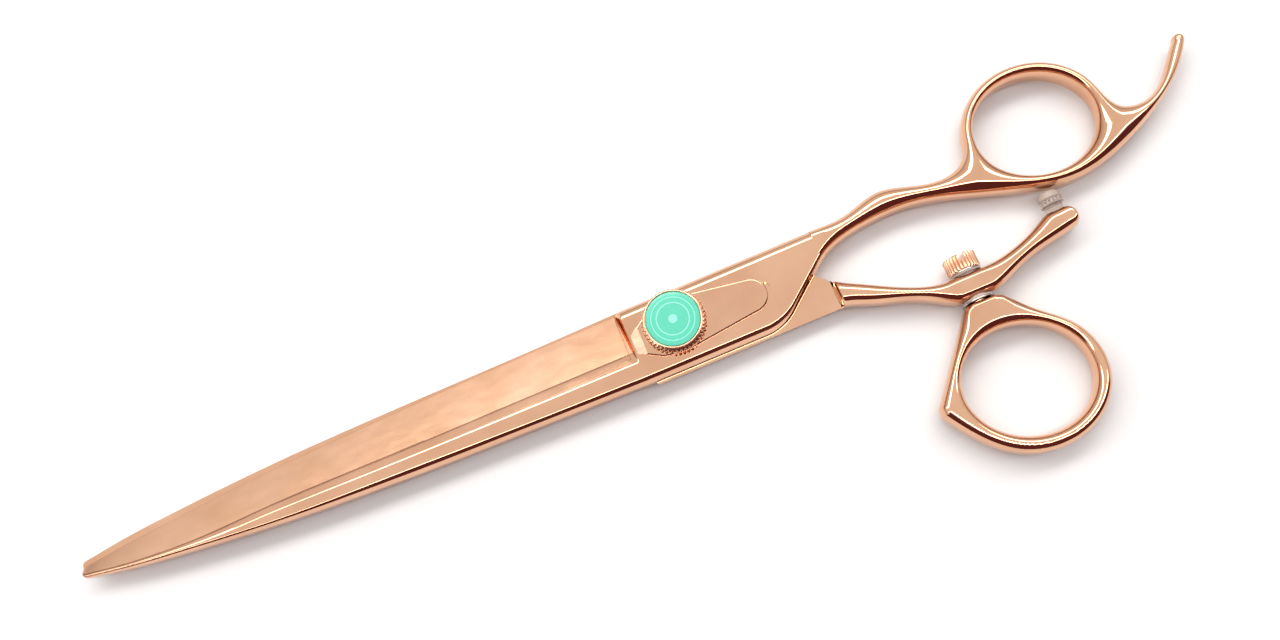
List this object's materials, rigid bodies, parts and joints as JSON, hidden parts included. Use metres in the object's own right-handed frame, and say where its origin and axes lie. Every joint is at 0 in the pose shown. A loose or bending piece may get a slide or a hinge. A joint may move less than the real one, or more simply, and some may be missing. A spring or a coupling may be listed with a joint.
{
  "type": "hair cutting shears",
  "caption": "Long convex-edge hair cutting shears with offset handles, fixed finger rest, swivelling thumb ring, bumper and click tension dial; lies closed on its rear screw head.",
  "frame": {"origin": "centre of the rear pivot screw's flat face, on the pivot axis", "axes": "+Z along the pivot axis out of the tension dial, +X from the pivot towards the handles (the tip points to -X), +Y towards the finger ring"},
  "size_m": [0.2255, 0.0671, 0.0104],
  "materials": {
    "blade_rose_gold": "mirror-polished rose-gold coating on hardened steel, finely satin on the ground face",
    "handle_rose_gold": "mirror-polished rose-gold coating on steel",
    "plate_rose_gold": "satin rose-gold coating with a polished edge",
    "screw_rose_gold": "turned and knurled, rose-gold coating",
    "dial_rose_gold": "polished rose-gold coating with a beaded grip",
    "insert_teal": "teal gloss resin with a fine shimmer",
    "washer_steel": "spring steel, lightly polished",
    "bush_nylon": "translucent nylon",
    "bumper_clear": "clear knurled plastic",
    "bumper_frosted": "milky frosted silicone"
  },
  "bodies": {
    "finger_half": {"finger_blade": "blade_rose_gold", "finger_handle": "handle_rose_gold", "pivot_screw": "screw_rose_gold", "click_plate": "plate_rose_gold", "wave_washer": "washer_steel"},
    "dial": {"dial_knob": "dial_rose_gold", "dial_insert": "insert_teal"},
    "thumb_half": {"thumb_blade": "blade_rose_gold", "thumb_handle": "handle_rose_gold", "pivot_bush": "bush_nylon", "thrust_washer": "bush_nylon", "bumper_screw": "bumper_clear", "bumper_dome": "bumper_frosted", "upper_swivel_bush": "bush_nylon", "lower_swivel_bush": "bush_nylon"},
    "thumb_loop": {"thumb_ring": "handle_rose_gold", "swivel_screw": "screw_rose_gold", "upper_swivel_washer": "washer_steel", "lower_swivel_washer": "washer_steel"}
  },
  "joints": [
    {"name": "blade_pivot", "type": "hinge", "parent": "finger_half", "child": "thumb_half", "pos_m": [0, 0, 0.0038], "axis": [0, 0, -1], "range_deg": [0, 110]},
    {"name": "dial_turn", "type": "hinge", "parent": "finger_half", "child": "dial", "pos_m": [0, 0, 0.008], "axis": [0, 0, 1], "range_deg": [-180, 180]},
    {"name": "thumb_swivel", "type": "hinge", "parent": "thumb_half", "child": "thumb_loop", "pos_m": [0.0518, -0.0144, 0.00382], "axis": [0, -1, 0], "continuous": true}
  ]
}
